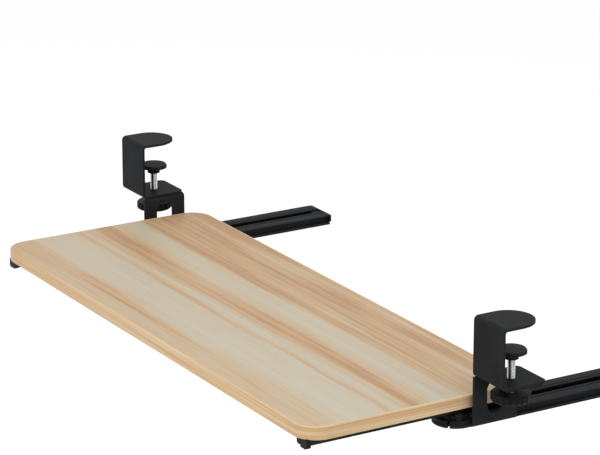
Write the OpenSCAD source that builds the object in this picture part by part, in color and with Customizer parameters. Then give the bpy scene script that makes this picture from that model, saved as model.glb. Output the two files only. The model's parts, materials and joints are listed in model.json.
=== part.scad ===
// Clamp-on sliding keyboard tray.
// A wood board hangs on two runners, and each runner rolls along a slotted steel track.
// A bent hanger carries each track below a C-shaped screw clamp that grips the edge of a panel.
// All sizes are in millimetres. Z is up, Y runs back under the panel, X runs to the user's right.
// The origin lies on the top front edge of the panel, midway between the two clamps.
// The tray is shown pulled out to its front stop.

/* [Tray board] */
// Width of the board along X
board_w = 650; // [560:10:750]
// Depth of the board along Y
board_d = 250; // [220:5:300]
// Thickness of the board
board_t = 14; // [11:0.5:18]
// Radius of the board corners seen from above
corner_r = 25; // [10:1:40]
// Thickness of the edge band
band_t = 2; // [2:0.25:3]
// Rounding of the upper and lower rim of the edge band
edge_r = 1.5; // [0.5:0.25:1.75]

/* [Clamp] */
// Thickness of the clamp and hanger steel
plate_t = 2.5; // [2:0.25:3]
// Width of the clamp jaws along X
clamp_w = 50; // [46:1:58]
// Height between the two jaw plates
clamp_open = 57.5; // [50:0.5:60]
// Inner radius of the clamp bends
clamp_bend_r = 2.5; // [1:0.25:3.5]
// Distance of the screw axis behind the front plate
screw_y = 24.5; // [21:0.5:25]
// Reach of the upper jaw behind the front plate
upper_reach = 46; // [42:0.5:54]
// Depth of the lower jaw behind the front plate
jaw_d = 49.5; // [46:0.5:54]
// Radius of the back corners of the lower jaw
jaw_corner_r = 6; // [2:0.5:12]
// Thickness of the rubber sheet under the upper jaw
jaw_rubber_t = 1; // [0.5:0.25:2]
// Rim of bare steel left round the rubber sheet
jaw_rubber_rim = 2; // [1:0.5:4]

/* [Hanger] */
// Drop from the lower jaw to the underside of the hanger
hanger_drop = 52.5; // [50:0.5:62]
// Depth of the side plate along Y
side_d = 51; // [48:0.5:58]
// Gap between the board edge and the side plate
side_gap = 6.5; // [5:0.5:12]
// Setback of the side plate behind the front face of the clamp
side_setback = 1; // [0:0.5:2]
// Offset of the clamp jaws outward from the side plate
clamp_step = 1.5; // [0.5:0.5:4]
// Depth of the ear in front of the upper bend of the hanger
ear_d = 5; // [3:0.5:8]
// Inner radius of the hanger bends
hanger_bend_r = 1.5; // [1:0.25:1.75]
// Width of the window in the side plate
window_w = 20; // [12:1:24]
// Height of the window in the side plate
window_h = 35; // [26:1:36]
// Rise of the window above the middle of the side plate
window_rise = 2; // [0:0.5:3]
// Reach of the hanger nose in front of the panel edge
nose_y = 28; // [27:0.5:34]
// Radius of the two nose corners
nose_r = 22; // [8:1:22]
// Setback of the nose behind the outer face of the side plate
nose_setback = 4; // [1:0.5:4]
// Width of the notch in the rim of the nose
notch_w = 2.2; // [1:0.2:3]
// Depth of the notch in the rim of the nose
notch_d = 6; // [2:0.5:7]

/* [Track] */
// Width of the track
track_w = 45; // [42:0.5:48]
// Height of the track
track_h = 8.5; // [8.5:0.25:11]
// Wall thickness of the track
track_t = 1.5; // [1:0.25:1.75]
// Width of the slot between the track lips
slot_w = 11; // [10:0.5:13]
// Overhang of the track lips beyond the track walls
lip_overhang = 5; // [2:0.5:5.5]
// Distance of the groove in each track lip from the slot
groove_in = 3; // [2:0.5:4]
// Width of the groove in each track lip
groove_w = 2; // [1:0.25:3]
// Depth of the groove in each track lip
groove_d = 0.75; // [0.25:0.25:0.75]
// Gap between the track and the side plate
track_gap = 0.5; // [0.5:0.25:2]
// Width of the ledge round the front guide
ledge_w = 4; // [2:0.25:4.25]
// Height of the ledge round the front guide
ledge_h = 4.5; // [3:0.25:6]
// Depth of the guide plug inside the front end of the track
guide_plug = 8; // [5:0.5:10]
// Depth of the back plug inside the track
back_plug = 10; // [6:0.5:14]
// Spare length of the track behind the trolley when the tray is pushed in
track_spare = 4; // [2:0.5:8]
// Thickness of the back plug head
back_head = 2; // [1:0.5:4]
// Diameter of the track rivets
rivet_d = 4; // [3:0.25:4.5]

/* [Runner and trolley] */
// Width of the runner
runner_w = 18; // [17:0.5:20]
// Height of the runner
runner_h = 5.75; // [4.5:0.25:6]
// Wall thickness of the runner
runner_t = 1.5; // [1.25:0.25:1.75]
// Gap between the runner and the track lips
runner_gap = 0.75; // [0.75:0.25:2]
// Height of the front cap
cap_h = 9.5; // [9:0.5:13]
// Length of the front cap along Y
cap_l = 5; // [4:0.5:9]
// Distance of the front cap behind the front of the board
cap_inset = 4.5; // [3:0.5:9]
// Length of the tongue of the front cap inside the runner
cap_tongue = 6; // [4:0.5:9]
// Radius of the lower corners of the front cap
cap_r = 3; // [1:0.5:4]
// Length of the trolley along Y
trolley_l = 48; // [44:1:56]
// Distance of the trolley in front of the back of the board
trolley_inset = 10; // [6:0.5:14]
// Diameter of the front roller
front_roller_d = 11; // [10:0.5:12]
// Width of the front roller
front_roller_w = 8; // [6:0.5:8.5]
// Diameter of the front roller pin
front_pin_d = 3; // [2:0.25:3.5]
// Distance of the front roller behind the tip of the nose
front_roller_y = 12.5; // [11:0.5:14]
// Width of each small roller of the trolley
rear_roller_w = 6; // [4:0.5:7]
// Diameter of the trolley pin
rear_pin_d = 2; // [1.5:0.25:2.5]
// Distance of the small rollers in front of the back of the trolley
rear_roller_y = 8; // [6:0.5:10]

/* [Small screws] */
// Diameter of the wood screws and guide screws
small_screw_d = 4; // [3:0.25:4.5]
// Length of a wood screw inside the board
wood_bite = 8; // [5:0.5:9]
// Distance of the first runner screw behind the front cap
first_screw = 14; // [12:1:24]
// Distance of the other runner screws from the middle of the board
screw_spread = 30; // [16:1:40]
// Distance of the front trolley screw behind the front of the trolley
trolley_screw_1 = 9; // [6:0.5:12]
// Distance of the back trolley screw behind the front of the trolley
trolley_screw_2 = 26; // [22:0.5:28]
// Distance of the first rivet behind the guide plug
first_rivet = 16; // [10:1:24]
// Distance of the last rivet in front of the back plug
last_rivet = 14; // [10:1:24]
// Distance of the guide screws behind the front of the guide
guide_screw = 16; // [14:0.5:18]

/* [Clamp screw and knob] */
// Diameter of the clamp screw
screw_d = 8; // [7:0.5:10]
// Diameter of the knob
knob_d = 39; // [36:1:46]
// Height of the knob
knob_h = 8; // [7:0.5:12]
// Number of grip flutes round the knob
knob_flutes = 20; // [14:1:26]
// Diameter of each grip flute
flute_d = 3.2; // [2:0.2:4]
// Height of the nut under the lower jaw
nut_h = 4; // [3:0.25:4.25]
// Gap between the knob and the hanger in the pose shown
knob_gap = 9.5; // [9.25:0.25:12]
// Diameter of the pressure disc
disc_d = 30; // [22:1:36]
// Thickness of the pressure disc
disc_t = 2.5; // [1.5:0.25:4]
// Diameter of the hub under the pressure disc
hub_d = 14; // [13:0.5:18]
// Height of the hub under the pressure disc
hub_h = 6; // [4:0.5:7]
// Thickness of the rubber sheet on the pressure disc
disc_rubber_t = 1.5; // [1:0.25:3]
// Rim of bare steel left round the rubber sheet on the pressure disc
disc_rubber_rim = 1; // [0.5:0.5:3]
// Thickness of the gripped panel in the pose shown
panel_t = 27; // [25:0.5:34]

/* [Clearances] */
// Clearance round pressed, screwed and moulded-in pieces
snug = 0.02; // [0.01:0.01:0.05]
// Radial clearance round pins and the clamp screw
running = 0.06; // [0.03:0.01:0.1]
// Gap between a roller and the face that it rolls on
roll_gap = 0.2; // [0.15:0.05:0.3]
// Gap between the trolley and the inside of the track
glide_gap = 0.4; // [0.35:0.05:0.6]
// Gap left at the ends of the travel
stop_gap = 0.5; // [0.5:0.1:1]

/* [Hidden] */
$fn = 48;

// Overshoot of a cut beyond the face that it opens
over = 1;

// Colours
wood_color = [0.82, 0.70, 0.55];
band_color = [0.86, 0.77, 0.64];
steel_black = [0.06, 0.06, 0.065];
nylon_black = [0.09, 0.09, 0.09];
rubber_black = [0.04, 0.04, 0.04];
zinc_color = [0.75, 0.75, 0.76];
nylon_pale = [0.80, 0.79, 0.75];

// Clamp heights
upper_z = jaw_rubber_t;
clamp_top = upper_z + plate_t;
lower_z = upper_z - clamp_open;
lower_under = lower_z - plate_t;

// Places across the object, right side
side_in = board_w / 2 + side_gap;
side_out = side_in + plate_t;
clamp_in = side_in + clamp_step;
clamp_out = clamp_in + clamp_w;
clamp_x = clamp_in + clamp_w / 2;
upper_round_y = upper_reach - clamp_w / 2;
track_out = side_in - track_gap;
track_in = track_out - track_w;
track_x = track_out - track_w / 2;

// Hanger
bed_under = lower_under - hanger_drop;
bed_top = bed_under + plate_t;
bed_margin = 0.5;
bed_in = track_in - bed_margin;
bed_out = side_out - nose_setback;
nose_round = min(nose_r, (bed_out - bed_in) / 2 - bed_margin);
bend_out_r = hanger_bend_r + plate_t;
bend_x = side_out - bend_out_r;
side_front = side_setback - plate_t;
side_back = side_front + side_d;
relief = 1.5;
flange_under = lower_under - plate_t;
flange_margin = 2;
flange_front = side_front + ear_d + relief;
flange_back = side_back;
flange_in = side_in + bend_out_r;
flange_out = clamp_out - flange_margin;
ear_gap = 0.5;
ear_top = lower_under - ear_gap;
window_y = (side_front + side_back) / 2;
window_z = (lower_under + bed_under) / 2 + window_rise;

// Track and guide
track_top = bed_top + track_h;
track_floor = bed_top + track_t;
lip_under = track_top - track_t;
base_in = track_in + lip_overhang;
base_out = track_out - lip_overhang;
inner_in = base_in + track_t;
inner_out = base_out - track_t;
lip_r = track_t * 0.4;
groove_from = slot_w / 2 + groove_in;
guide_front = -nose_y + bed_margin;
notch_turn = -49;
guide_notch_more = 1;

// Runner and board
runner_under = track_top + runner_gap;
board_under = runner_under + runner_h;
web_under = board_under - runner_t;
runner_in = track_x - runner_w / 2;
runner_out = track_x + runner_w / 2;
trolley_front = guide_plug + stop_gap;
trolley_back = trolley_front + trolley_l;
board_back = trolley_back + trolley_inset;
board_front = board_back - board_d;
board_y = (board_front + board_back) / 2;
cap_front = board_front + cap_inset;
cap_back = cap_front + cap_l;
runner_back = trolley_back;
tray_travel = guide_front - cap_back - stop_gap;
track_back = trolley_back + tray_travel + back_plug + track_spare;

// Front cap: step as a share of the cap, and gap round its tongue
cap_step_x = 0.38;
cap_step_z = 0.2;
tongue_gap = 0.2;

// Front roller
front_roller_r = front_roller_d / 2;
front_axis_y = -nose_y + front_roller_y;
front_axis_z = web_under - roll_gap - front_roller_r;
well_gap = 0.6;
well_floor = 1.2;
boss_rim = 1;
cheek_setback = 1.3;
cheek_r = front_roller_r - cheek_setback;
cheek_gap = 0.4;
cheek_in = front_roller_w / 2 + cheek_gap;
cheek_out = runner_w / 2 - runner_t - cheek_gap;
cheek_mid = (cheek_in + cheek_out) / 2;
cheek_w = cheek_out - cheek_in;

// Rivets
rivet_head_h = 1;
rivet_head_d = rivet_d * 2;
rivet_crown_d = rivet_head_d * 0.7;
rivet_root_d = rivet_head_d * 0.85;
rivet_tail_d = rivet_head_d * 0.6;
rivet_room = 0.3;

// Trolley
shoe_in = inner_in + glide_gap * 2;
shoe_out = inner_out - glide_gap * 2;
shoe_under = track_floor + glide_gap;
shoe_top = lip_under - glide_gap;
neck_half = slot_w / 2 - glide_gap * 2;
rear_axis_y = trolley_back - rear_roller_y;
rear_axis_z = (track_floor + lip_under) / 2;
rear_roller_r = (lip_under - track_floor) / 2 - roll_gap;
roller_slot = glide_gap;
groove_half = 5.5;
groove_h = rivet_head_h + rivet_room - glide_gap;

// Small screws and places of the rivets
screw_head_d = small_screw_d * 1.9;
screw_head_h = small_screw_d * 0.5;
sunk_h = runner_t;
drive_w = small_screw_d * 0.2;
drive_l = small_screw_d * 0.9;
drive_h = small_screw_d * 0.2;
runner_screw_y = [cap_back + first_screw, board_y - screw_spread, board_y + screw_spread];
trolley_screw_y = [trolley_front + trolley_screw_1, trolley_front + trolley_screw_2];
rivet_y = [guide_plug + first_rivet, track_back / 2, track_back - back_plug - last_rivet];
guide_screw_y = guide_front + guide_screw;
guide_screw_x = [(bed_in + runner_in) / 2, (runner_out + bed_out) / 2 - bed_margin];

// Clamp screw
nut_af = screw_d * 1.625;
jaw_hole_gap = 0.5;
jaw_hole_d = screw_d + 2 * jaw_hole_gap;
knob_top = flange_under - knob_gap;
knob_under = knob_top - knob_h;
head_h = screw_d * 0.5;
head_sunk = 0.5;
head_z = knob_under + head_sunk;
flute_out = flute_d * 0.15;
disc_rubber_top = -panel_t;
disc_top = disc_rubber_top - disc_rubber_t;
disc_under = disc_top - disc_t;
hub_under = disc_under - hub_h;
socket_deep = 0.5;
socket_top = disc_under + socket_deep;
tip_gap = 0.2;
screw_top = socket_top - tip_gap;

// Flat rectangle from one corner to the opposite corner
module rect(x0, y0, x1, y1) {
    translate([x0, y0])
        square([x1 - x0, y1 - y0]);
}

// Flat rectangle with four round corners
module round_rect(x0, y0, x1, y1, r) {
    rect(x0 + r, y0, x1 - r, y1);
    rect(x0, y0 + r, x1, y1 - r);
    for (x = [x0 + r, x1 - r])
        for (y = [y0 + r, y1 - r])
            translate([x, y])
                circle(r);
}

// Quarter of a ring, in the quadrant given by the two signs
module quarter_ring(x, y, r_in, r_out, sx, sy) {
    translate([x, y])
        intersection() {
            difference() {
                circle(r_out);
                circle(r_in);
            }
            rect(min(0, sx * r_out), min(0, sy * r_out), max(0, sx * r_out), max(0, sy * r_out));
        }
}

// Quarter of a disc, in the quadrant given by the two signs
module quarter_disc(x, y, r, sx, sy) {
    translate([x, y])
        intersection() {
            circle(r);
            rect(min(0, sx * r), min(0, sy * r), max(0, sx * r), max(0, sy * r));
        }
}

// Extrusions of a flat shape along one axis
module along_x(x0, x1) {
    translate([x0, 0, 0])
        rotate([90, 0, 90])
            linear_extrude(x1 - x0)
                children();
}

module along_y(y0, y1) {
    translate([0, y1, 0])
        rotate([90, 0, 0])
            linear_extrude(y1 - y0)
                children();
}

module along_z(z0, z1) {
    translate([0, 0, z0])
        linear_extrude(z1 - z0)
            children();
}

// Round bar along X or Z between two ends
module bar_x(d, x0, x1, y, z) {
    translate([x0, y, z])
        rotate([0, 90, 0])
            cylinder(d = d, h = x1 - x0);
}

module bar_z(d, z0, z1, x, y) {
    translate([x, y, z0])
        cylinder(d = d, h = z1 - z0);
}

module hex_z(af, z0, z1, x, y) {
    translate([x, y, z0])
        linear_extrude(z1 - z0)
            circle(d = af / cos(30), $fn = 6);
}

// Straight cross in the head of a small screw, cut upward from z
module drive_cross(x, y, z, h) {
    translate([x - drive_l / 2, y - drive_w / 2, z])
        cube([drive_l, drive_w, h]);
    translate([x - drive_w / 2, y - drive_l / 2, z])
        cube([drive_w, drive_l, h]);
}

// Board and edge band
module tray_board() {
    core_r = corner_r - band_t;
    half_w = board_w / 2 - band_t;
    color(wood_color)
        difference() {
            along_z(board_under, board_under + board_t)
                round_rect(-half_w, board_front + band_t, half_w, board_back - band_t, core_r);
            for (x = [-track_x, track_x])
                for (y = concat(runner_screw_y, trolley_screw_y))
                    bar_z(small_screw_d + 2 * snug, board_under - over, board_under + wood_bite, x, y);
        }
}

module band_profile() {
    rect(0, 0, band_t - edge_r, board_t);
    rect(band_t - edge_r, edge_r, band_t, board_t - edge_r);
    quarter_disc(band_t - edge_r, edge_r, edge_r, 1, -1);
    quarter_disc(band_t - edge_r, board_t - edge_r, edge_r, 1, 1);
}

module edge_band() {
    half_x = board_w / 2 - corner_r;
    half_y = board_d / 2 - corner_r;
    color(band_color)
        translate([0, board_y, board_under]) {
            for (turn = [0, 180])
                rotate([0, 0, turn]) {
                    along_x(-half_x, half_x)
                        translate([board_d / 2 - band_t, 0])
                            band_profile();
                    along_y(-half_y, half_y)
                        translate([board_w / 2 - band_t, 0])
                            band_profile();
                    translate([half_x, half_y, 0])
                        rotate_extrude(angle = 90)
                            translate([corner_r - band_t, 0])
                                band_profile();
                    translate([-half_x, half_y, 0])
                        rotate([0, 0, 90])
                            rotate_extrude(angle = 90)
                                translate([corner_r - band_t, 0])
                                    band_profile();
                }
        }
}

// Runner: a shallow channel, open below, with sunk screw holes
module runner_shape() {
    difference() {
        along_y(cap_back, runner_back)
            difference() {
                rect(runner_in, runner_under, runner_out, board_under);
                rect(runner_in + runner_t, runner_under - over, runner_out - runner_t, web_under);
            }
        for (y = runner_screw_y)
            translate([track_x, y, web_under])
                cylinder(d1 = screw_head_d + 2 * snug, d2 = small_screw_d + 2 * snug, h = sunk_h);
        for (y = trolley_screw_y)
            bar_z(small_screw_d + 2 * snug, web_under - over, board_under + over, track_x, y);
    }
}

// Front cap: a stepped foot with a tongue that fills the end of the runner
module cap_shape() {
    cap_under = board_under - cap_h;
    step_x = runner_in + runner_w * cap_step_x;
    step_z = cap_under + cap_h * cap_step_z;
    tongue = runner_t + tongue_gap;
    along_y(cap_front, cap_back) {
        rect(runner_in, step_z + cap_r, runner_out, board_under);
        rect(runner_in + cap_r, step_z, runner_out, step_z + cap_r);
        quarter_disc(runner_in + cap_r, step_z + cap_r, cap_r, -1, -1);
        rect(step_x, cap_under, runner_out - cap_r, step_z);
        rect(runner_out - cap_r, cap_under + cap_r, runner_out, step_z + cap_r);
        quarter_disc(runner_out - cap_r, cap_under + cap_r, cap_r, 1, -1);
    }
    along_y(cap_back, cap_back + cap_tongue)
        rect(runner_in + tongue, runner_under + tongue_gap, runner_out - tongue, web_under);
}

// Trolley: a shoe inside the track with a neck through the slot
module trolley_shape() {
    pocket = rear_roller_r + roller_slot;
    half = rear_roller_w + roller_slot;
    difference() {
        along_y(trolley_front, trolley_back) {
            rect(shoe_in, shoe_under, shoe_out, shoe_top);
            rect(track_x - neck_half, shoe_top, track_x + neck_half, web_under);
        }
        along_y(trolley_front - over, trolley_back + over)
            rect(track_x - groove_half, shoe_under - over, track_x + groove_half, shoe_under + groove_h);
        along_z(shoe_under - over, shoe_top + over) {
            rect(shoe_in - over, rear_axis_y - pocket, shoe_in + half, rear_axis_y + pocket);
            rect(shoe_out - half, rear_axis_y - pocket, shoe_out + over, rear_axis_y + pocket);
        }
        bar_x(rear_pin_d + 2 * snug, shoe_in - over, shoe_out + over, rear_axis_y, rear_axis_z);
        for (y = trolley_screw_y) {
            bar_z(small_screw_d + 2 * snug, shoe_under, web_under + over, track_x, y);
            bar_z(screw_head_d + 2 * snug, shoe_under, shoe_under + groove_h + screw_head_h, track_x, y);
        }
    }
}

module trolley_pin_shape() {
    bar_x(rear_pin_d, shoe_in + snug, shoe_out - snug, rear_axis_y, rear_axis_z);
}

module trolley_rollers_shape() {
    for (x0 = [shoe_in, shoe_out - rear_roller_w])
        difference() {
            bar_x(2 * rear_roller_r, x0, x0 + rear_roller_w, rear_axis_y, rear_axis_z);
            bar_x(rear_pin_d + 2 * running, x0 - over, x0 + rear_roller_w + over, rear_axis_y, rear_axis_z);
        }
}

// Clamp frame: one bent plate
module bent_outline(y0, z0, z1, r, y1) {
    rect(y0 + r, z0, y1, z1);
    rect(y0, z0 + r, y0 + r, z1 - r);
    quarter_disc(y0 + r, z0 + r, r, -1, -1);
    quarter_disc(y0 + r, z1 - r, r, -1, 1);
}

module clamp_frame_shape() {
    deep = max(jaw_d, upper_reach) + over;
    middle = (upper_z + lower_z) / 2;
    difference() {
        intersection() {
            along_x(clamp_in, clamp_out)
                difference() {
                    bent_outline(-plate_t, lower_under, clamp_top, clamp_bend_r + plate_t, deep);
                    bent_outline(0, lower_z, upper_z, clamp_bend_r, deep + over);
                }
            union() {
                along_z(middle, clamp_top + over) {
                    rect(clamp_in, -plate_t - over, clamp_out, upper_round_y);
                    translate([clamp_x, upper_round_y])
                        circle(clamp_w / 2, $fn = 96);
                }
                along_z(lower_under - over, middle) {
                    rect(clamp_in, -plate_t - over, clamp_out, jaw_d - jaw_corner_r);
                    rect(clamp_in + jaw_corner_r, 0, clamp_out - jaw_corner_r, jaw_d);
                    for (x = [clamp_in + jaw_corner_r, clamp_out - jaw_corner_r])
                        translate([x, jaw_d - jaw_corner_r])
                            circle(jaw_corner_r);
                }
            }
        }
        bar_z(jaw_hole_d, lower_under - over, lower_z + over, clamp_x, screw_y);
    }
}

module jaw_rubber_shape() {
    sheet_r = clamp_w / 2 - jaw_rubber_rim;
    along_z(0, jaw_rubber_t) {
        rect(clamp_x - sheet_r, clamp_bend_r + jaw_rubber_rim, clamp_x + sheet_r, upper_round_y);
        quarter_disc(clamp_x, upper_round_y, sheet_r, -1, 1);
        quarter_disc(clamp_x, upper_round_y, sheet_r, 1, 1);
    }
}

// Hanger: flange, side plate with window, and bed with a round nose
module bed_outline() {
    difference() {
        union() {
            rect(bed_in, -nose_y + nose_round, bed_out, track_back);
            rect(bed_in + nose_round, -nose_y, bed_out - nose_round, -nose_y + nose_round);
            quarter_disc(bed_in + nose_round, -nose_y + nose_round, nose_round, -1, -1);
            quarter_disc(bed_out - nose_round, -nose_y + nose_round, nose_round, 1, -1);
        }
        rect(bend_x, side_front - relief, bed_out + bend_out_r, side_back + relief);
        nose_notch(notch_d);
    }
}

// Narrow notch cut from the rim of the nose towards the middle of its outer corner
module nose_notch(deep) {
    translate([bed_out - nose_round, -nose_y + nose_round])
        rotate(notch_turn)
            rect(nose_round - deep, -notch_w / 2, nose_round + over, notch_w / 2);
}

module hanger_shape() {
    low_bend_z = bed_under + bend_out_r;
    high_bend_z = lower_under - bend_out_r;
    window_r = window_w / 2;
    difference() {
        union() {
            along_z(bed_under, bed_top)
                bed_outline();
            along_y(side_front, side_back) {
                quarter_ring(bend_x, low_bend_z, hanger_bend_r, bend_out_r, 1, -1);
                rect(side_in, low_bend_z, side_out, high_bend_z);
            }
            along_y(side_front, side_front + ear_d)
                rect(side_in, high_bend_z, side_out, ear_top);
            along_y(flange_front, flange_back)
                quarter_ring(flange_in, high_bend_z, hanger_bend_r, bend_out_r, -1, 1);
            along_z(flange_under, lower_under) {
                rect(flange_in, flange_front, flange_out, flange_back - jaw_corner_r);
                rect(flange_in, flange_back - jaw_corner_r, flange_out - jaw_corner_r, flange_back);
                quarter_disc(flange_out - jaw_corner_r, flange_back - jaw_corner_r, jaw_corner_r, 1, 1);
            }
        }
        along_x(side_in - over, side_out + over) {
            rect(window_y - window_r, window_z - window_h / 2 + window_r,
                window_y + window_r, window_z + window_h / 2 - window_r);
            for (z = [window_z - window_h / 2 + window_r, window_z + window_h / 2 - window_r])
                translate([window_y, z])
                    circle(window_r);
        }
        bar_z(jaw_hole_d, flange_under - over, lower_under + over, clamp_x, screw_y);
        for (y = rivet_y)
            bar_z(rivet_d + 2 * snug, bed_under - over, bed_top + over, track_x, y);
        for (x = guide_screw_x)
            bar_z(small_screw_d + 2 * snug, bed_under - over, bed_top + over, x, guide_screw_y);
    }
}

module clamp_nut_shape() {
    difference() {
        hex_z(nut_af, flange_under - nut_h, flange_under, clamp_x, screw_y);
        bar_z(screw_d + 2 * running, flange_under - nut_h - over, flange_under + over, clamp_x, screw_y);
    }
}

// Track: a channel lying on the bed, with a grooved lip along each side of its slot
module track_profile() {
    difference() {
        union() {
            rect(base_in, bed_top, base_out, lip_under);
            round_rect(track_in, lip_under, track_out, track_top, lip_r);
        }
        rect(inner_in, track_floor, inner_out, lip_under);
        rect(track_x - slot_w / 2, lip_under - over, track_x + slot_w / 2, track_top + over);
        rect(track_x - groove_from - groove_w, track_top - groove_d,
            track_x - groove_from, track_top + over);
        rect(track_x + groove_from, track_top - groove_d,
            track_x + groove_from + groove_w, track_top + over);
    }
}

module track_shape() {
    difference() {
        along_y(0, track_back)
            track_profile();
        for (y = rivet_y)
            bar_z(rivet_d + 2 * snug, bed_top - over, track_floor + over, track_x, y);
    }
}

// Outline of the guide on the nose, set back from the rim of the bed
module guide_outline(inset) {
    r = nose_round - inset;
    x0 = bed_in + inset;
    x1 = bed_out - inset;
    y0 = -nose_y + inset;
    y1 = side_front - relief;
    rect(x0, y0 + r, x1, y1);
    rect(x0, y1, min(x1, track_out), 0);
    rect(x0 + r, y0, x1 - r, y0 + r);
    quarter_disc(x0 + r, y0 + r, r, -1, -1);
    quarter_disc(x1 - r, y0 + r, r, 1, -1);
}

// Guide: stepped block on the nose with cheeks for the front roller and a plug for the track
module front_guide_shape() {
    well = front_roller_r + well_gap;
    boss_d = screw_head_d + boss_rim;
    difference() {
        union() {
            along_z(bed_top, bed_top + ledge_h)
                guide_outline(bed_margin);
            along_z(bed_top, track_top)
                guide_outline(bed_margin + ledge_w);
            for (x = guide_screw_x)
                bar_z(boss_d, bed_top, track_top, x, guide_screw_y);
            along_y(0, guide_plug)
                rect(inner_in + snug, track_floor + snug, inner_out - snug, lip_under - snug);
            for (s = [-1, 1])
                along_x(track_x + s * cheek_mid - cheek_w / 2, track_x + s * cheek_mid + cheek_w / 2) {
                    translate([front_axis_y, front_axis_z])
                        circle(cheek_r);
                    rect(front_axis_y - cheek_r, bed_top, front_axis_y + cheek_r, front_axis_z);
                }
        }
        along_z(bed_top + well_floor, front_axis_z + front_roller_r)
            rect(track_x - cheek_in, front_axis_y - well, track_x + cheek_in, front_axis_y + well);
        bar_x(front_pin_d + 2 * snug, track_x - cheek_out - over, track_x + cheek_out + over,
            front_axis_y, front_axis_z);
        for (x = guide_screw_x)
            bar_z(small_screw_d + 2 * snug, bed_top - over, track_top + over, x, guide_screw_y);
        along_z(bed_top - over, track_top + over)
            nose_notch(notch_d + guide_notch_more);
    }
}

module front_pin_shape() {
    bar_x(front_pin_d, track_x - cheek_out, track_x + cheek_out, front_axis_y, front_axis_z);
}

module front_roller_shape() {
    half = front_roller_w / 2;
    difference() {
        bar_x(front_roller_d, track_x - half, track_x + half, front_axis_y, front_axis_z);
        bar_x(front_pin_d + 2 * running, track_x - half - over, track_x + half + over,
            front_axis_y, front_axis_z);
    }
}

module back_plug_shape() {
    along_y(track_back - back_plug, track_back)
        rect(inner_in + snug, track_floor + snug, inner_out - snug, lip_under - snug);
    along_y(track_back, track_back + back_head)
        round_rect(track_in, bed_top, track_out, track_top, track_t);
}

// Clamp screw with a hexagon head, knob, pressure disc and rubber sheet
module clamp_screw_shape() {
    hex_z(nut_af, head_z, head_z + head_h, clamp_x, screw_y);
    bar_z(screw_d, head_z + head_h, screw_top, clamp_x, screw_y);
}

module knob_shape() {
    chamfer = 1;
    r = knob_d / 2;
    difference() {
        translate([clamp_x, screw_y, knob_under]) {
            cylinder(r1 = r - chamfer, r2 = r, h = chamfer);
            translate([0, 0, chamfer])
                cylinder(r = r, h = knob_h - 2 * chamfer);
            translate([0, 0, knob_h - chamfer])
                cylinder(r1 = r, r2 = r - chamfer, h = chamfer);
        }
        for (i = [0 : knob_flutes - 1])
            translate([clamp_x, screw_y, knob_under - over])
                rotate([0, 0, i * 360 / knob_flutes])
                    translate([r + flute_out, 0, 0])
                        cylinder(d = flute_d, h = knob_h + 2 * over, $fn = 24);
        hex_z(nut_af + 2 * snug, knob_under - over, head_z + head_h, clamp_x, screw_y);
        bar_z(screw_d + 2 * snug, knob_under, knob_top + over, clamp_x, screw_y);
    }
}

module pressure_disc_shape() {
    difference() {
        union() {
            bar_z(disc_d, disc_under, disc_top, clamp_x, screw_y);
            bar_z(hub_d, hub_under, disc_under, clamp_x, screw_y);
        }
        bar_z(screw_d + 2 * running, hub_under - over, socket_top, clamp_x, screw_y);
    }
}

module disc_rubber_shape() {
    bar_z(disc_d - 2 * disc_rubber_rim, disc_top, disc_rubber_top, clamp_x, screw_y);
}

// Fasteners
module sunk_screw(x, y) {
    difference() {
        union() {
            translate([x, y, web_under])
                cylinder(d1 = screw_head_d, d2 = small_screw_d, h = sunk_h);
            bar_z(small_screw_d, web_under + sunk_h, board_under + wood_bite - snug, x, y);
        }
        drive_cross(x, y, web_under, drive_h);
    }
}

module pan_screw_up(x, y, z, tip) {
    difference() {
        union() {
            bar_z(screw_head_d, z, z + screw_head_h, x, y);
            bar_z(small_screw_d, z + screw_head_h, tip, x, y);
        }
        drive_cross(x, y, z, drive_h);
    }
}

module pan_screw_down(x, y, z, tip) {
    difference() {
        union() {
            bar_z(screw_head_d, z, z + screw_head_h, x, y);
            bar_z(small_screw_d, tip, z, x, y);
        }
        drive_cross(x, y, z + screw_head_h - drive_h, drive_h + over);
    }
}

module rivet(x, y) {
    translate([x, y, track_floor])
        cylinder(d1 = rivet_head_d, d2 = rivet_crown_d, h = rivet_head_h);
    bar_z(rivet_d, bed_under, track_floor, x, y);
    translate([x, y, bed_under - rivet_head_h])
        cylinder(d1 = rivet_tail_d, d2 = rivet_root_d, h = rivet_head_h);
}

module runner_screws() {
    color(zinc_color)
        for (x = [-track_x, track_x])
            for (y = runner_screw_y)
                sunk_screw(x, y);
}

module trolley_screws() {
    color(zinc_color)
        for (x = [-track_x, track_x])
            for (y = trolley_screw_y)
                pan_screw_up(x, y, shoe_under + groove_h, board_under + wood_bite - snug);
}

module guide_screws() {
    color(steel_black)
        for (s = [-1, 1])
            for (x = guide_screw_x)
                pan_screw_down(s * x, guide_screw_y, track_top, bed_under);
}

module track_rivets() {
    color(steel_black)
        for (x = [-track_x, track_x])
            for (y = rivet_y)
                rivet(x, y);
}

// Left pieces are mirror images of the right pieces
module on_left() {
    mirror([1, 0, 0])
        children();
}

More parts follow.
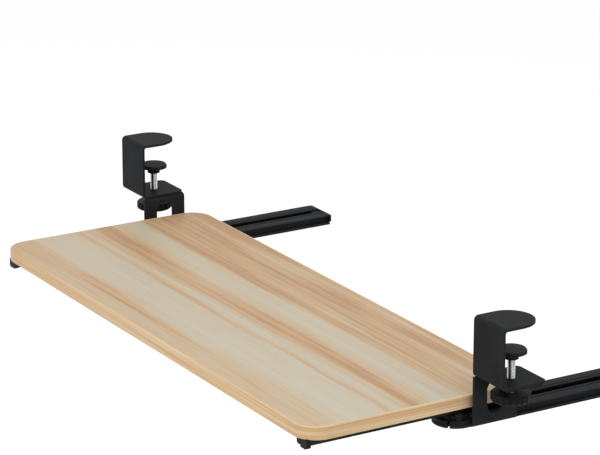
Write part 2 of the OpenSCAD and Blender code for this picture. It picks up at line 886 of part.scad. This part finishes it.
module left_runner() color(steel_black) on_left() runner_shape();
module right_runner() color(steel_black) runner_shape();
module left_front_cap() color(nylon_black) on_left() cap_shape();
module right_front_cap() color(nylon_black) cap_shape();
module left_trolley() color(nylon_black) on_left() trolley_shape();
module right_trolley() color(nylon_black) trolley_shape();
module left_trolley_pin() color(zinc_color) on_left() trolley_pin_shape();
module right_trolley_pin() color(zinc_color) trolley_pin_shape();
module left_trolley_rollers() color(nylon_pale) on_left() trolley_rollers_shape();
module right_trolley_rollers() color(nylon_pale) trolley_rollers_shape();
module left_clamp_frame() color(steel_black) on_left() clamp_frame_shape();
module right_clamp_frame() color(steel_black) clamp_frame_shape();
module left_jaw_rubber() color(rubber_black) on_left() jaw_rubber_shape();
module right_jaw_rubber() color(rubber_black) jaw_rubber_shape();
module left_hanger() color(steel_black) on_left() hanger_shape();
module right_hanger() color(steel_black) hanger_shape();
module left_clamp_nut() color(zinc_color) on_left() clamp_nut_shape();
module right_clamp_nut() color(zinc_color) clamp_nut_shape();
module left_track() color(steel_black) on_left() track_shape();
module right_track() color(steel_black) track_shape();
module left_front_guide() color(nylon_black) on_left() front_guide_shape();
module right_front_guide() color(nylon_black) front_guide_shape();
module left_front_pin() color(zinc_color) on_left() front_pin_shape();
module right_front_pin() color(zinc_color) front_pin_shape();
module left_front_roller() color(nylon_pale) on_left() front_roller_shape();
module right_front_roller() color(nylon_pale) front_roller_shape();
module left_back_plug() color(nylon_black) on_left() back_plug_shape();
module right_back_plug() color(nylon_black) back_plug_shape();
module left_clamp_screw() color(zinc_color) on_left() clamp_screw_shape();
module right_clamp_screw() color(zinc_color) clamp_screw_shape();
module left_knob() color(nylon_black) on_left() knob_shape();
module right_knob() color(nylon_black) knob_shape();
module left_pressure_disc() color(steel_black) on_left() pressure_disc_shape();
module right_pressure_disc() color(steel_black) pressure_disc_shape();
module left_disc_rubber() color(rubber_black) on_left() disc_rubber_shape();
module right_disc_rubber() color(rubber_black) disc_rubber_shape();

tray_board();
edge_band();
left_runner();
right_runner();
left_front_cap();
right_front_cap();
left_trolley();
right_trolley();
left_trolley_pin();
right_trolley_pin();
left_trolley_rollers();
right_trolley_rollers();
left_clamp_frame();
right_clamp_frame();
left_jaw_rubber();
right_jaw_rubber();
left_hanger();
right_hanger();
left_clamp_nut();
right_clamp_nut();
left_track();
right_track();
left_front_guide();
right_front_guide();
left_front_pin();
right_front_pin();
left_front_roller();
right_front_roller();
left_back_plug();
right_back_plug();
left_clamp_screw();
right_clamp_screw();
left_knob();
right_knob();
left_pressure_disc();
right_pressure_disc();
left_disc_rubber();
right_disc_rubber();
runner_screws();
trolley_screws();
guide_screws();
track_rivets();
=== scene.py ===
"""Looks of the clamp-on sliding keyboard tray: materials, threaded screws, floor, light and camera."""

import json
import math

import bmesh
import bpy
from mathutils import Matrix, Vector


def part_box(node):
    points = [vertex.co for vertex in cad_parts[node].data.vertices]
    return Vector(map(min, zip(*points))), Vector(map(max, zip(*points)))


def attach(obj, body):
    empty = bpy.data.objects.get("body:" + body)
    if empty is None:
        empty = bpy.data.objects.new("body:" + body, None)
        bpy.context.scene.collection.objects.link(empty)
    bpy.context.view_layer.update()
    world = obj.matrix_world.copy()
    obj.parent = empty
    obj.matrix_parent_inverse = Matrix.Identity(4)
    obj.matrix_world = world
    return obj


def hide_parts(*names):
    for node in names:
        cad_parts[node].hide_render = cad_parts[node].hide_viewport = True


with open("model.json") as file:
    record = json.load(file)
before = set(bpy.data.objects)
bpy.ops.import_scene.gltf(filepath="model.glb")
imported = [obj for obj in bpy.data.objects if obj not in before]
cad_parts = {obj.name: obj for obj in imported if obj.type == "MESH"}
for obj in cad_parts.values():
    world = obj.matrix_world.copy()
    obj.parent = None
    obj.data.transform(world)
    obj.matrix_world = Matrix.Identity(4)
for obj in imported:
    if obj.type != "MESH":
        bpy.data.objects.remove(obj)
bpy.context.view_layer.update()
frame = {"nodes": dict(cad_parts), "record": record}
scene = bpy.context.scene

# Camera at the photograph's angle: angles in degrees, places in metres, lens and sensor in millimetres
CAMERA_AZIMUTH = 59.025
CAMERA_ELEVATION = 17.807
CAMERA_DISTANCE = 3.193
CAMERA_TARGET = (0.0049, 0.0016, 0.0001)
CAMERA_LENS = 184.46
CAMERA_REACH = 100.0
SENSOR_WIDTH = 36.0

# Floor, in metres, and the glow that makes it white in the picture
FLOOR_Z = -0.72
FLOOR_SIZE = 40.0
FLOOR_COLOR = (0.90, 0.90, 0.90, 1.0)
FLOOR_ROUGHNESS = 0.9
FLOOR_GLOW = 0.40

# Light: strength of the white surroundings on the object, and each lamp's place in metres and power in watts
WHITE = (1.0, 1.0, 1.0, 1.0)
AMBIENT = 0.58
LAMPS = {"key": ((0.6, -2.6, 2.6), 60.0), "fill": ((2.8, 0.4, 1.6), 23.0)}
LAMP_SIZE = 2.4
LAMP_TARGET = (0.0, 0.0, -0.08)

# Clamp screw with an M8 thread and a hexagon head, in metres
SCREW_RADIUS = 0.004
TIP_CHAMFER = 0.0010
THREAD_PITCH = 0.00125
THREAD_DEPTH = 0.00065
HEAD_HEIGHT = 0.0040
HEAD_CHAMFER_IN = 0.0007
HEAD_CHAMFER_UP = 0.0006
HEAD_SIDES = 6
# Flanks steeper than a plain V (1.0) leave narrow flats on crest and root
THREAD_STEEPNESS = 1.35
STEPS_AROUND = 32
STEPS_PER_PITCH = 8

# Parts of a noise's range that hold most of its values
MIDDLE = (0.3, 0.7)
WIDE = (0.25, 0.75)

# Edges painted another colour, partly as wear and partly as a painted highlight: rays of the bevel, and the
# cosines between which an edge starts to show and shows fully
BEVEL_SAMPLES = 6
EDGE_COSINES = (0.995, 0.80)

# Printed wood: how far its bands wander, in metres
BAND_DRIFT = 0.009
BAND_WAVER = 0.003
# Warmth of the bands from the front edge of the board (0) to the back edge (1)
WOOD_BANDS = (
    (0.00, 0.48), (0.05, 0.56), (0.09, 0.48), (0.112, 0.62), (0.123, 0.44), (0.140, 0.16), (0.19, 0.09),
    (0.30, 0.11), (0.345, 0.22), (0.362, 0.56), (0.376, 0.60), (0.392, 0.28), (0.42, 0.25), (0.445, 0.52),
    (0.485, 0.76), (0.52, 0.70), (0.55, 0.45), (0.575, 0.24), (0.62, 0.16), (0.68, 0.30), (0.715, 0.66),
    (0.76, 0.74), (0.81, 0.62), (0.86, 0.60), (0.93, 0.74), (1.00, 0.64),
)
# Colours of the wood from the palest tone (0) to the warmest (1)
WOOD_COLORS = (
    (0.00, (205, 197, 178)), (0.22, (203, 190, 166)), (0.46, (205, 181, 148)), (0.74, (200, 167, 128)),
    (1.00, (188, 149, 109)),
)
# Short dark pores: colour, how much of the wood they hide, and depth against the fibres
PORE_COLOR = (150, 116, 84)
PORE_COVER = 0.30
PORE_DEPTH = 0.6
# The left end of the board is warmer by this much, fading out at this X, in metres
LEFT_WARMTH = 0.14
LEFT_WARMTH_END = 0.1

# Edge band: colours from the darkest line (0) to the palest (1)
EDGE_COLORS = (
    (0.00, (192, 151, 106)), (0.30, (208, 172, 127)), (0.60, (218, 188, 146)), (1.00, (226, 206, 170)),
)
# Painted highlights on the rims of the edge band, where its rounded top and bottom edges catch the light:
# where they start and are full, in metres from its top or bottom, and how pale
RIM_START = 0.0022
UPPER_RIM_FULL = 0.0008
LOWER_RIM_FULL = 0.0010
RIM_HIGHLIGHT_TONE = 0.22

# Shine of the wood surfaces
WOOD_SPECULAR = 0.25

# Sockets of a Mix node that hold colours
MIX_A, MIX_B, MIX_RESULT = 6, 7, 2


def linear(red, green, blue):
    """Linear colour of an sRGB colour given in 0 to 255."""
    def channel(level):
        share = level / 255.0
        return share / 12.92 if share <= 0.04045 else ((share + 0.055) / 1.055) ** 2.4
    return (channel(red), channel(green), channel(blue), 1.0)


class NodeMaker:
    """Short calls that fill an emptied node tree."""

    def __init__(self, tree):
        self.nodes = tree.nodes
        self.links = tree.links
        self.nodes.clear()

    def make(self, kind, inputs=None, **settings):
        """New node, with each input joined to another node's output or set to a plain value."""
        node = self.nodes.new(kind)
        for key, value in settings.items():
            setattr(node, key, value)
        for key, value in (inputs or {}).items():
            if isinstance(value, bpy.types.NodeSocket):
                self.links.new(value, node.inputs[key])
            else:
                node.inputs[key].default_value = value
        return node

    def math(self, operation, a, b):
        return self.make("ShaderNodeMath", {0: a, 1: b}, operation=operation).outputs[0]

    def plus(self, total, *others):
        for other in others:
            total = self.math("ADD", total, other)
        return total

    def times(self, a, b):
        return self.math("MULTIPLY", a, b)

    def span(self, value, source, target=(0.0, 1.0)):
        """Value carried from the source range to the target range."""
        return self.make("ShaderNodeMapRange", {
            "Value": value, "From Min": source[0], "From Max": source[1],
            "To Min": target[0], "To Max": target[1],
        }).outputs["Result"]

    def swing(self, noise, reach):
        """Noise spread evenly to both sides of 0."""
        return self.span(noise, MIDDLE, (-reach, reach))

    def background_rays(self):
        """Factor that is 1 for camera, glossy and transmission rays."""
        path = self.make("ShaderNodeLightPath").outputs
        seen = self.math("MAXIMUM", path["Is Camera Ray"], path["Is Glossy Ray"])
        return self.math("MAXIMUM", seen, path["Is Transmission Ray"])


class Look(NodeMaker):
    """A new material, painted in the object's own coordinates."""

    def __init__(self, name):
        self.material = bpy.data.materials.new(name)
        self.material.use_nodes = True
        super().__init__(self.material.node_tree)
        self.place = self.make("ShaderNodeTexCoord").outputs["Object"]

    def axes(self):
        split = self.make("ShaderNodeSeparateXYZ", {"Vector": self.place}).outputs
        return split["X"], split["Y"], split["Z"]

    def noise(self, scale=1.0, detail=3.0, rough=0.6, stretch=None, vector=None):
        """Noise with a scale in waves per metre, or with a scale for each axis in stretch."""
        vector = vector or self.place
        if stretch:
            vector = self.make("ShaderNodeMapping", {"Vector": vector, "Scale": stretch}).outputs["Vector"]
        return self.make("ShaderNodeTexNoise", {
            "Vector": vector, "Scale": scale, "Detail": detail, "Roughness": rough,
        }).outputs["Fac"]

    def ramp(self, value, stops):
        """Smooth ramp through stops, each a place and a linear colour."""
        node = self.make("ShaderNodeValToRGB", {"Fac": value})
        node.color_ramp.interpolation = "EASE"
        elements = node.color_ramp.elements
        elements[0].position, elements[0].color = stops[0]
        elements[1].position, elements[1].color = stops[-1]
        for position, color in stops[1:-1]:
            elements.new(position).color = color
        return node.outputs["Color"]

    def paint(self, value, stops):
        """Smooth ramp through stops, each a place and an sRGB colour."""
        return self.ramp(value, [(place, linear(*color)) for place, color in stops])

    def mix(self, amount, a, b, blend="MIX"):
        inputs = {"Factor": amount, MIX_A: a, MIX_B: b}
        return self.make("ShaderNodeMix", inputs, data_type="RGBA", blend_type=blend).outputs[MIX_RESULT]

    def bump(self, height, distance, strength, normal=None):
        inputs = {"Height": height, "Distance": distance, "Strength": strength}
        if normal:
            inputs["Normal"] = normal
        return self.make("ShaderNodeBump", inputs).outputs["Normal"]

    def soft_edges(self, radius):
        """Normal with rounded edges, and a mask that is 1 on the edges."""
        bevel = self.make("ShaderNodeBevel", {"Radius": radius}, samples=BEVEL_SAMPLES).outputs["Normal"]
        plain = self.make("ShaderNodeNewGeometry").outputs["Normal"]
        dot = self.make("ShaderNodeVectorMath", {0: bevel, 1: plain}, operation="DOT_PRODUCT")
        return bevel, self.span(dot.outputs["Value"], EDGE_COSINES)

    def principled(self, color, roughness, normal=None, specular=0.5, metallic=0.0):
        inputs = {
            "Base Color": color, "Roughness": roughness,
            "Specular IOR Level": specular, "Metallic": metallic,
        }
        if normal:
            inputs["Normal"] = normal
        return self.make("ShaderNodeBsdfPrincipled", inputs).outputs["BSDF"]

    def finish(self, shader):
        self.make("ShaderNodeOutputMaterial", {"Surface": shader})
        return self.material


def wood_laminate():
    """Printed wood: broad pale and orange bands along X, finer streaks, fibres and short pores."""
    look = Look("wood_laminate")
    low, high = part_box("tray_board")
    x, y, _ = look.axes()
    drift = look.noise(stretch=(2.3, 5.0, 5.0), rough=0.5)
    waver = look.noise(stretch=(5.0, 60.0, 60.0), detail=4.0)
    patch = look.noise(stretch=(3.4, 18.0, 18.0), detail=2.0, rough=0.5)
    streak = look.noise(stretch=(2.2, 90.0, 90.0), detail=5.0, rough=0.62)
    thread = look.noise(stretch=(5.0, 300.0, 300.0), detail=4.0, rough=0.7)
    fibre = look.noise(stretch=(14.0, 700.0, 700.0), detail=4.0, rough=0.7)
    pore = look.noise(stretch=(60.0, 1500.0, 1500.0), detail=2.0, rough=0.5)

    across = look.plus(y, look.swing(drift, BAND_DRIFT), look.swing(waver, BAND_WAVER))
    depth = look.span(across, (low.y, high.y))
    patchiness = look.span(patch, MIDDLE, (0.50, 1.25))
    bands = look.ramp(depth, [(place, (warm, warm, warm, 1.0)) for place, warm in WOOD_BANDS])
    bands = look.times(bands, patchiness)
    lines = look.plus(look.span(streak, MIDDLE, (-0.24, 0.32)), look.swing(thread, 0.24))
    # Lines show more on the warm bands
    line_strength = look.span(bands, (0.1, 0.6), (0.45, 1.15))
    left_end = look.span(x, (low.x, LEFT_WARMTH_END), (LEFT_WARMTH, 0.0))
    tone = look.plus(bands, look.times(lines, line_strength), left_end)

    pores = look.span(pore, (0.66, 0.74))
    fibre_shade = look.span(fibre, WIDE, (0.93, 1.04))
    wood = look.mix(1.0, look.paint(tone, WOOD_COLORS), fibre_shade, "MULTIPLY")
    wood = look.mix(look.times(pores, PORE_COVER), wood, linear(*PORE_COLOR))
    height = look.math("SUBTRACT", fibre, look.times(pores, PORE_DEPTH))
    normal = look.bump(height, distance=0.00008, strength=0.35)
    roughness = look.span(fibre, MIDDLE, (0.42, 0.54))
    return look.finish(look.principled(wood, roughness, normal, specular=WOOD_SPECULAR))


def edge_wood():
    """Edge band: tan with grain lines that run round it, and painted highlights along its upper and lower
    rims.
    """
    look = Look("edge_band")
    low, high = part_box("edge_band")
    x, y, z = look.axes()
    unrolled = look.make("ShaderNodeCombineXYZ", {"X": look.plus(x, y), "Z": z}).outputs["Vector"]
    ground = look.noise(vector=unrolled, stretch=(3.0, 1.0, 380.0), rough=0.5)
    line = look.noise(vector=unrolled, stretch=(5.0, 1.0, 760.0))
    fibre = look.noise(vector=unrolled, stretch=(30.0, 1.0, 2600.0), rough=0.7)

    # Painted highlights: the upper and lower rims are paler where the rounded edges of the band catch the
    # light
    upper = look.span(z, (high.z - RIM_START, high.z - UPPER_RIM_FULL), (0.0, RIM_HIGHLIGHT_TONE))
    lower = look.span(z, (low.z + RIM_START, low.z + LOWER_RIM_FULL), (0.0, RIM_HIGHLIGHT_TONE))
    ground_tone = look.span(ground, (0.36, 0.64), (0.18, 0.64))
    line_tone = look.swing(line, 0.38)
    tone = look.plus(ground_tone, line_tone, upper, lower)
    fibre_shade = look.span(fibre, WIDE, (0.95, 1.03))
    wood = look.mix(1.0, look.paint(tone, EDGE_COLORS), fibre_shade, "MULTIPLY")
    normal = look.bump(fibre, distance=0.00006, strength=0.3)
    roughness = look.span(fibre, MIDDLE, (0.38, 0.48))
    return look.finish(look.principled(wood, roughness, normal, specular=WOOD_SPECULAR))


def coat(name, edge_radius, grain, cloud, colors, edge_wear_and_highlight, edge_wear_and_highlight_amount, roughness, relief, **shine):
    """Material whose edges are painted another colour, partly as wear and partly as a painted highlight:
    grain sets its roughness and relief, cloud (or else grain) its colour.
    """
    look = Look(name)
    normal, edge = look.soft_edges(edge_radius)
    fine = look.noise(**grain)
    broad = look.noise(**cloud) if cloud else fine
    ground = look.paint(broad, list(zip(MIDDLE, colors)))
    # Edges mixed towards another colour: partly wear, partly a painted highlight where the edges catch the
    # light
    ground = look.mix(look.times(edge, edge_wear_and_highlight_amount), ground, linear(*edge_wear_and_highlight))
    rough = look.span(fine, MIDDLE, roughness)
    return look.finish(look.principled(ground, rough, look.bump(fine, normal=normal, **relief), **shine))


def powder_coat():
    """Black powder-coated steel with fine orange peel, and edges painted lighter, partly as wear and partly
    as a painted highlight.
    """
    return coat(
        "black_steel", edge_radius=0.0006, grain={"scale": 1500.0}, cloud={"scale": 26.0, "detail": 4.0},
        colors=((34, 35, 37), (41, 42, 44)), edge_wear_and_highlight=(66, 67, 70), edge_wear_and_highlight_amount=0.5, roughness=(0.44, 0.58),
        relief={"distance": 0.00005, "strength": 0.35}, specular=0.03,
    )


def black_nylon():
    """Moulded black plastic with a fine spark-eroded grain."""
    return coat(
        "black_nylon", edge_radius=0.0005, grain={"scale": 2600.0, "detail": 2.0}, cloud={"scale": 60.0},
        colors=((24, 24, 25), (31, 31, 32)), edge_wear_and_highlight=(58, 58, 60), edge_wear_and_highlight_amount=0.35, roughness=(0.34, 0.48),
        relief={"distance": 0.00004, "strength": 0.4}, specular=0.06,
    )


def pale_nylon():
    """Natural nylon with light scuffs."""
    return coat(
        "pale_nylon", edge_radius=0.0004, grain={"scale": 900.0, "detail": 4.0, "rough": 0.65}, cloud=None,
        colors=((214, 210, 196), (228, 225, 214)), edge_wear_and_highlight=(196, 190, 174), edge_wear_and_highlight_amount=0.4, roughness=(0.40, 0.55),
        relief={"distance": 0.00003, "strength": 0.3},
    )


def bright_steel():
    """Bright zinc-plated steel with fine drawn lines and a cloudy plate."""
    return coat(
        "bright_steel", edge_radius=0.0003,
        grain={"stretch": (2600.0, 2600.0, 120.0)}, cloud={"scale": 320.0},
        colors=((196, 198, 201), (222, 223, 225)), edge_wear_and_highlight=(240, 240, 240), edge_wear_and_highlight_amount=0.3, roughness=(0.20, 0.34),
        relief={"distance": 0.00002, "strength": 0.25}, metallic=1.0,
    )


def rubber_sheet():
    """Matt black rubber sheet with open pores."""
    look = Look("rubber_sheet")
    pores = look.make("ShaderNodeTexVoronoi", {"Vector": look.place, "Scale": 1400.0}).outputs["Distance"]
    dust = look.noise(scale=90.0, detail=4.0)
    ground = look.paint(dust, [(0.3, (30, 30, 31)), (0.75, (44, 44, 45))])
    normal = look.bump(pores, distance=0.0001, strength=0.5)
    roughness = look.span(dust, MIDDLE, (0.80, 0.92))
    return look.finish(look.principled(ground, roughness, normal))


def new_object(name, data):
    thing = bpy.data.objects.new(name, data)
    scene.collection.objects.link(thing)
    return thing


def add_ring(mesh, axis, z, radii):
    """Points at height z, evenly spaced round an axis, at the given radii."""
    ring = []
    for step, radius in enumerate(radii):
        turn = math.tau * step / len(radii)
        ring.append(mesh.verts.new((axis.x + radius * math.cos(turn), axis.y + radius * math.sin(turn), z)))
    return ring


def add_walls(mesh, rings):
    """Faces between each ring and the next one above it."""
    for lower, upper in zip(rings, rings[1:]):
        for step in range(len(lower)):
            other = (step + 1) % len(lower)
            mesh.faces.new((lower[step], lower[other], upper[other], upper[step]))


def rod_radius(z, turn, top):
    """Radius of the threaded rod at height z and angle turn, with a chamfer at its top."""
    phase = (z / THREAD_PITCH - turn / math.tau) % 1.0
    flank = abs(2.0 * phase - 1.0)
    share = min(1.0, max(0.0, (flank - 0.5) * THREAD_STEEPNESS + 0.5))
    chamfer = max(0.0, TIP_CHAMFER - (top - z))
    return SCREW_RADIUS - max(THREAD_DEPTH * share, chamfer)


def threaded_screw(name, low, high):
    """Threaded rod with a chamfered hexagon head below it, as one closed mesh that fills the box."""
    axis = (low + high) / 2
    foot = low.z + HEAD_HEIGHT
    length = high.z - foot
    mesh = bmesh.new()

    rows = round(length / THREAD_PITCH * STEPS_PER_PITCH)
    turns = [math.tau * step / STEPS_AROUND for step in range(STEPS_AROUND)]
    rod = []
    for row in range(rows + 1):
        z = foot + length * row / rows
        rod.append(add_ring(mesh, axis, z, [rod_radius(z, turn, high.z) for turn in turns]))
    add_walls(mesh, rod)
    mesh.faces.new(rod[-1])

    corner = (high.y - low.y) / 2 / math.cos(math.pi / HEAD_SIDES)
    head = []
    for z, inset in ((low.z, HEAD_CHAMFER_IN), (low.z + HEAD_CHAMFER_UP, 0.0), (foot, 0.0)):
        head.append(add_ring(mesh, axis, z, [corner - inset] * HEAD_SIDES))
    add_walls(mesh, head)
    mesh.faces.new(list(reversed(head[0])))

    # Upper face of the head, in one piece for each side of the hexagon
    starts = [step * STEPS_AROUND // HEAD_SIDES for step in range(HEAD_SIDES + 1)]
    for step in range(HEAD_SIDES):
        arc = [rod[0][i % STEPS_AROUND] for i in range(starts[step], starts[step + 1] + 1)]
        mesh.faces.new([head[-1][step], head[-1][(step + 1) % HEAD_SIDES]] + list(reversed(arc)))

    data = bpy.data.meshes.new(name)
    mesh.normal_update()
    mesh.to_mesh(data)
    mesh.free()
    return new_object(name, data)


def make_floor():
    """Pale floor that keeps the shadow and is clear when seen from below."""
    half = FLOOR_SIZE / 2
    corners = [(x, y, FLOOR_Z) for x, y in ((-half, -half), (half, -half), (half, half), (-half, half))]
    data = bpy.data.meshes.new("floor")
    data.from_pydata(corners, [], [(0, 1, 2, 3)])
    floor = new_object("floor", data)
    look = Look("floor")
    pale = look.principled(FLOOR_COLOR, FLOOR_ROUGHNESS, specular=0.0)
    glow = look.make("ShaderNodeEmission", {"Strength": look.times(look.background_rays(), FLOOR_GLOW)})
    lit = look.make("ShaderNodeAddShader", {0: pale, 1: glow.outputs["Emission"]})
    clear = look.make("ShaderNodeBsdfTransparent")
    below = look.make("ShaderNodeNewGeometry").outputs["Backfacing"]
    both = look.make("ShaderNodeMixShader", {0: below, 1: lit.outputs["Shader"], 2: clear.outputs["BSDF"]})
    data.materials.append(look.finish(both.outputs["Shader"]))


def make_world():
    """Surroundings that are white in the picture and in reflections, and light the object less strongly."""
    scene.world = bpy.data.worlds.new("studio")
    scene.world.use_nodes = True
    maker = NodeMaker(scene.world.node_tree)
    strength = maker.span(maker.background_rays(), (0.0, 1.0), (AMBIENT, 1.0))
    light = maker.make("ShaderNodeBackground", {"Color": WHITE, "Strength": strength})
    maker.make("ShaderNodeOutputWorld", {"Surface": light.outputs["Background"]})


def make_lamp(name, place, power):
    data = bpy.data.lights.new(name, "AREA")
    data.shape = "SQUARE"
    data.size = LAMP_SIZE
    data.energy = power
    lamp = new_object(name, data)
    lamp.location = place
    lamp.rotation_euler = (Vector(LAMP_TARGET) - Vector(place)).to_track_quat("-Z", "Y").to_euler()


def make_camera():
    azimuth, elevation = math.radians(CAMERA_AZIMUTH), math.radians(CAMERA_ELEVATION)
    level = Vector((math.sin(azimuth), -math.cos(azimuth), 0.0))
    back = level * math.cos(elevation) + Vector((0.0, 0.0, math.sin(elevation)))
    right = Vector((math.cos(azimuth), math.sin(azimuth), 0.0))
    turn = Matrix((right, back.cross(right), back)).transposed().to_4x4()
    data = bpy.data.cameras.new("camera")
    data.lens = CAMERA_LENS
    data.sensor_fit = "HORIZONTAL"
    data.sensor_width = SENSOR_WIDTH
    data.clip_end = CAMERA_REACH
    scene.camera = new_object("camera", data)
    scene.camera.matrix_world = Matrix.Translation(Vector(CAMERA_TARGET) + back * CAMERA_DISTANCE) @ turn


materials = {
    "wood_laminate": wood_laminate(),
    "edge_band": edge_wood(),
    "black_steel": powder_coat(),
    "black_nylon": black_nylon(),
    "pale_nylon": pale_nylon(),
    "bright_steel": bright_steel(),
    "rubber_sheet": rubber_sheet(),
}
for part in frame["record"]["subparts"]:
    slots = frame["nodes"][part["node"]].data.materials
    slots.clear()
    slots.append(materials[part["material_slot"]])

for side in ("left", "right"):
    node = side + "_clamp_screw"
    piece = threaded_screw(side + "_threaded_screw", *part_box(node))
    piece.data.materials.append(materials["bright_steel"])
    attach(piece, side + "_screw")
    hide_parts(node)

make_floor()
make_world()
for name, (place, power) in LAMPS.items():
    make_lamp(name, place, power)
make_camera()
scene.view_settings.view_transform = "Standard"
